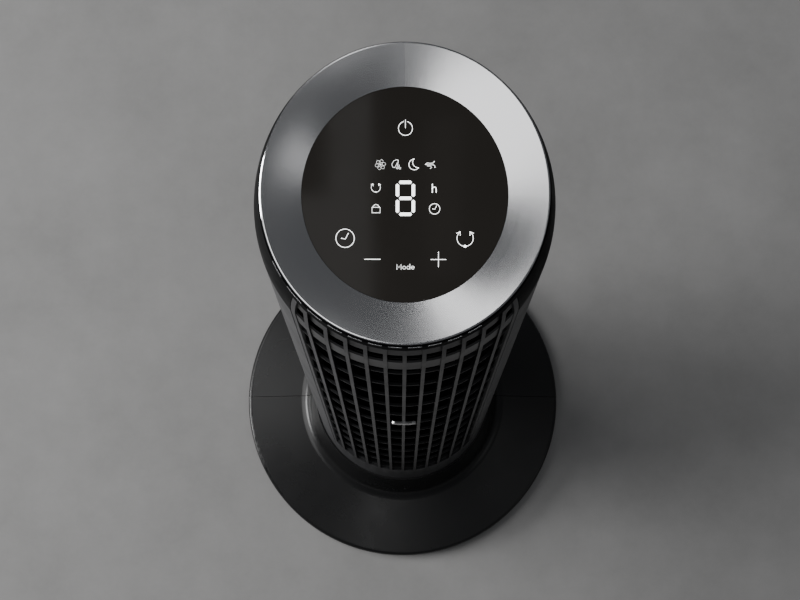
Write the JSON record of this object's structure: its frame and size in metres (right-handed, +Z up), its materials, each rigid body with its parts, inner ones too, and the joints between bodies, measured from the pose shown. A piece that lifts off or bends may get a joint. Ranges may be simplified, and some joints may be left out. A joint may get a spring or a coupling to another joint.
{
  "type": "tower fan",
  "caption": "Slim round tower fan with a ribbed front grille, sloping metal-ringed glass touch panel and a wide round two-part base that the column swivels on.",
  "frame": {"origin": "middle of the base, on the floor", "axes": "+Z up along the column, front of the fan towards -Y, +X to the fan's left as it faces you from the front, which is the viewer's right"},
  "size_m": [0.3, 0.3, 0.99],
  "materials": {
    "satin_black_plastic": "satin moulded black plastic",
    "grille_plastic": "satin dark grey moulded plastic",
    "collar_plastic": "smooth black plastic",
    "brushed_metal": "spun and brushed, clear lacquered",
    "badge_metal": "polished",
    "black_glass": "black-backed touch glass, polished",
    "duct_plastic": "moulded black plastic",
    "impeller_plastic": "fine moulded plastic",
    "natural_plastic": "natural acetal, slightly waxy",
    "steel": "zinc-plated steel",
    "screw_steel": "zinc-plated screws",
    "motor_can": "painted steel can",
    "iron_laminations": "stacked electrical steel",
    "copper_wire": "enamelled copper winding",
    "magnet": "bonded ferrite",
    "rubber": "soft black rubber",
    "bronze": "oiled sintered bronze",
    "circuit_board": "solder-masked board",
    "component_plastic": "moulded component cases",
    "led_lens": "milky LED lens",
    "cable_jacket": "soft cable jacket"
  },
  "bodies": {
    "base": {"base_front_half": "satin_black_plastic", "base_rear_half": "satin_black_plastic", "base_plate": "steel", "rubber_feet": "rubber", "base_screws": "screw_steel", "cord_gland": "rubber", "swivel_post": "duct_plastic", "post_screws": "screw_steel", "ring_gear": "natural_plastic", "ring_gear_screws": "screw_steel", "thrust_washer": "natural_plastic", "retaining_ring": "steel", "retainer_screws": "screw_steel"},
    "tower": {"turntable": "duct_plastic", "turntable_screws": "screw_steel", "stepper_motor": "steel", "stepper_screws": "screw_steel", "rear_housing": "grille_plastic", "front_grille": "grille_plastic", "badge": "badge_metal", "scroll_wall": "duct_plastic", "tongue_wall": "duct_plastic", "motor_plate": "duct_plastic", "top_plate": "duct_plastic", "duct_screws": "screw_steel", "motor_housing": "motor_can", "motor_end_cap": "motor_can", "stator_core": "iron_laminations", "stator_coils": "copper_wire", "motor_bearings": "steel", "motor_grommets": "rubber", "motor_screws": "screw_steel", "top_bearing": "bronze", "bearing_holder": "rubber", "head_collar": "collar_plastic", "bezel_ring": "brushed_metal", "glass_panel": "black_glass", "panel_carrier": "duct_plastic", "carrier_screws": "screw_steel", "display_board": "circuit_board", "board_screws": "screw_steel", "digit_display": "led_lens", "icon_leds": "led_lens", "touch_pads": "rubber", "remote_receiver": "component_plastic", "collar_screws": "screw_steel", "power_board": "circuit_board", "power_parts": "component_plastic", "display_cable": "cable_jacket"},
    "pinion": {"drive_pinion": "natural_plastic", "stepper_shaft": "steel"},
    "impeller": {"rotor": "magnet", "drive_shaft": "steel", "impeller_hub": "impeller_plastic", "impeller_section_1": "impeller_plastic", "impeller_section_2": "impeller_plastic", "impeller_section_3": "impeller_plastic", "impeller_section_4": "impeller_plastic", "impeller_end_disc": "impeller_plastic", "bearing_pin": "steel"}
  },
  "joints": [
    {"name": "tower_swivel", "type": "hinge", "parent": "base", "child": "tower", "pos_m": [0, 0, 0.07], "axis": [0, 0, 1], "range_deg": [-40, 40]},
    {"name": "pinion_spin", "type": "hinge", "parent": "tower", "child": "pinion", "pos_m": [0.049, 0, 0.064], "axis": [0, 0, 1], "range_deg": [-240, 240]},
    {"name": "impeller_spin", "type": "hinge", "parent": "tower", "child": "impeller", "pos_m": [0, 0.008, 0.5], "axis": [0, 0, 1], "continuous": true}
  ],
  "couplings": [
    {"joint": "pinion_spin", "follows": "tower_swivel", "ratio": 6}
  ]
}
